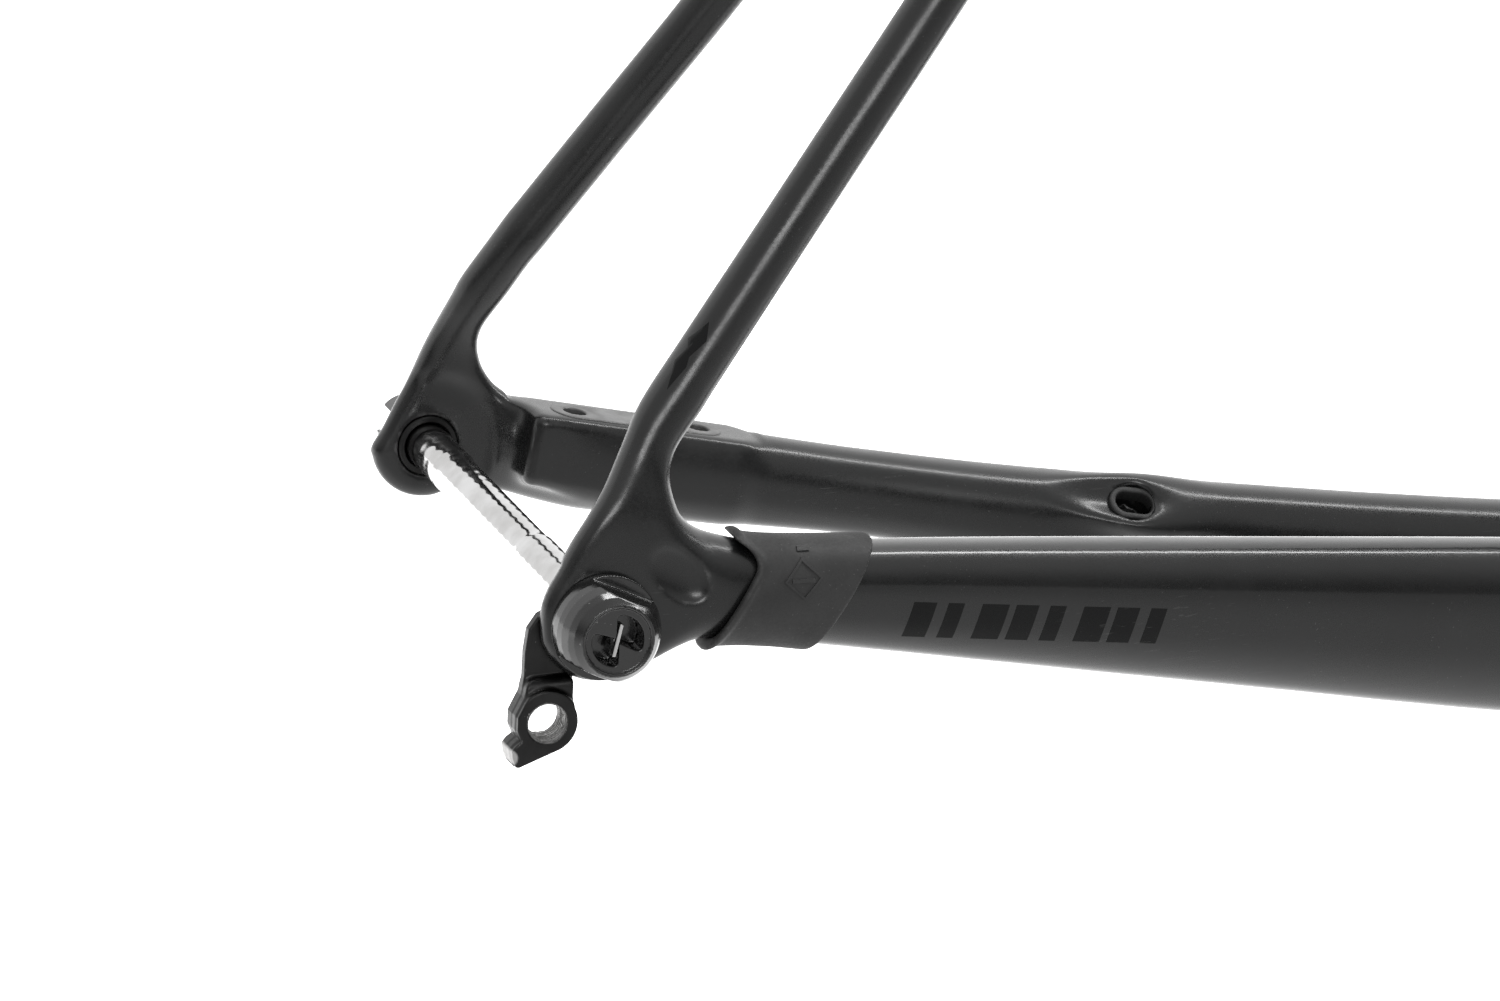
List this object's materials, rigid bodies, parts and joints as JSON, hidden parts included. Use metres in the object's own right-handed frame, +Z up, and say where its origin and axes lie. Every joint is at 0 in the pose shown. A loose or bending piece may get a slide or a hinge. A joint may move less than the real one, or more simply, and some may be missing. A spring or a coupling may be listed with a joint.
{
  "type": "bicycle frame",
  "caption": "Disc-brake road bicycle frame with through axle, axle nut, derailleur hanger, chain guard, flat brake mount and pressed-in crank and steering bearings.",
  "frame": {"origin": "centre of the bottom bracket shell", "axes": "+X forward along the bicycle, +Y to the rider's left, +Z up; the drive side is at -Y"},
  "size_m": [0.8764, 0.1873, 0.5992],
  "materials": {
    "carbon": "satin black lacquer over carbon fibre",
    "black_metal": "black anodised",
    "steel": "polished",
    "aluminium": "machined",
    "rubber": "matte",
    "nylon": "matte",
    "pad": "bare facing"
  },
  "bodies": {
    "frame": {"head_tube": "carbon", "top_tube": "carbon", "down_tube": "carbon", "seat_tube": "carbon", "bottom_bracket_shell": "carbon", "chainstay_right": "carbon", "chainstay_left": "carbon", "seatstay_right": "carbon", "seatstay_left": "carbon", "dropout_right": "carbon", "dropout_left": "carbon", "derailleur_hanger": "black_metal", "axle_nut": "black_metal", "dropout_bushing_left": "black_metal", "chainstay_guard": "rubber", "hose_port_grommet": "rubber", "brake_mount_pad": "pad", "brake_sleeve_front": "aluminium", "brake_sleeve_rear": "aluminium", "bb_cup_right": "nylon", "bb_cup_left": "nylon", "bb_bearing_right": "steel", "bb_bearing_left": "steel", "bb_dust_sleeve": "nylon", "bb_cable_guide": "nylon", "bb_guide_screw": "steel", "headset_bearing_upper": "steel", "headset_bearing_lower": "steel", "seat_clamp": "black_metal", "seat_clamp_bolt": "steel", "front_derailleur_mount": "black_metal", "front_derailleur_screw_upper": "steel", "front_derailleur_screw_lower": "steel", "bottle_bolt_seat_1": "steel", "bottle_bolt_seat_2": "steel", "bottle_bolt_down_1": "steel", "bottle_bolt_down_2": "steel", "cable_port_cover": "nylon"},
    "washer": {"axle_washer": "black_metal"},
    "axle": {"thru_axle": "steel", "axle_head": "black_metal", "axle_lever_pin": "steel"},
    "lever": {"axle_lever": "black_metal"},
    "race_upper": {"headset_race_upper": "steel"},
    "race_lower": {"headset_race_lower": "steel"},
    "race_right": {"bb_race_right": "steel"},
    "race_left": {"bb_race_left": "steel"}
  },
  "joints": [
    {"name": "axle_slide", "type": "slide", "parent": "frame", "child": "washer", "axis": [0, 1, 0], "range_m": [0, 0.17]},
    {"name": "axle_turn", "type": "hinge", "parent": "washer", "child": "axle", "pos_m": [-0.404, 0, 0.072], "axis": [0, 1, 0], "range_deg": [0, 90]},
    {"name": "lever_flip", "type": "hinge", "parent": "axle", "child": "lever", "pos_m": [-0.404, 0.0905, 0.072], "axis": [0.2924, 0, 0.9563], "range_deg": [0, 110]},
    {"name": "headset_upper_spin", "type": "hinge", "parent": "frame", "child": "race_upper", "pos_m": [0.37908, 0, 0.55158], "axis": [-0.2924, 0, 0.9563], "continuous": true},
    {"name": "headset_lower_spin", "type": "hinge", "parent": "frame", "child": "race_lower", "pos_m": [0.41789, 0, 0.42463], "axis": [-0.2924, 0, 0.9563], "continuous": true},
    {"name": "crank_right_spin", "type": "hinge", "parent": "frame", "child": "race_right", "pos_m": [0, -0.0467, 0], "axis": [0, 1, 0], "continuous": true},
    {"name": "crank_left_spin", "type": "hinge", "parent": "frame", "child": "race_left", "pos_m": [0, 0.0467, 0], "axis": [0, 1, 0], "continuous": true}
  ]
}
